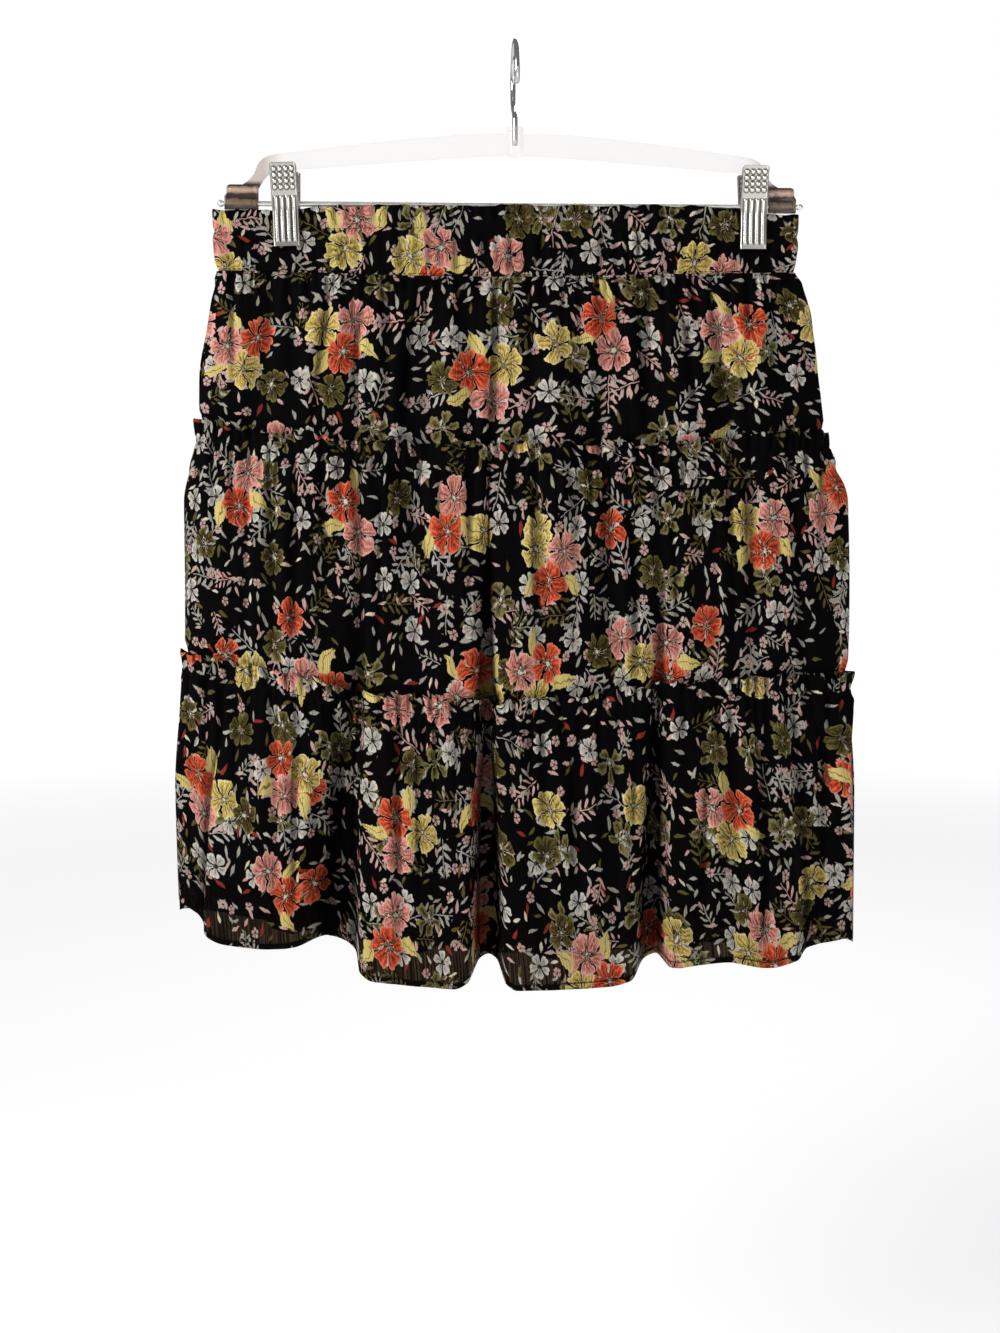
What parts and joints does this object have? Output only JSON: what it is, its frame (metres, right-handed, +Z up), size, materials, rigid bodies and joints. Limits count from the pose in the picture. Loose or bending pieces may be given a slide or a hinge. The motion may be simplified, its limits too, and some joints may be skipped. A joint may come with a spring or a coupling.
{
  "type": "tiered ruffle skirt on a clip hanger",
  "caption": "Short tiered ruffle skirt in a floral printed crinkle chiffon with a black lining and elastic waist, held by clips on a clear skirt hanger.",
  "frame": {"origin": "inside top of the hook's crown, where a rail bears", "axes": "+Z up, +X to the right of someone facing the skirt, whose front faces -Y; the rail runs along X"},
  "size_m": [0.4177, 0.086, 0.562],
  "materials": {
    "chiffon": "sheer crinkle chiffon, black ground with a dense floral print",
    "lining": "smooth black lining",
    "clear_plastic": "clear moulded plastic",
    "hanger_metal": "bright plated wire",
    "clip_metal": "bright plated pressed sheet"
  },
  "bodies": {
    "root": {"waistband_front": "chiffon", "tier_1_front": "chiffon", "tier_2_front": "chiffon", "tier_3_front": "chiffon", "lining_front": "lining", "waistband_back": "chiffon", "tier_1_back": "chiffon", "tier_2_back": "chiffon", "tier_3_back": "chiffon", "lining_back": "lining", "hanger_frame": "clear_plastic", "hanger_rod": "hanger_metal", "hanger_hook": "hanger_metal", "clip_left_front": "clip_metal", "clip_left_back": "clip_metal", "clip_left_spring": "clip_metal", "clip_right_front": "clip_metal", "clip_right_back": "clip_metal", "clip_right_spring": "clip_metal"}
  },
  "joints": []
}
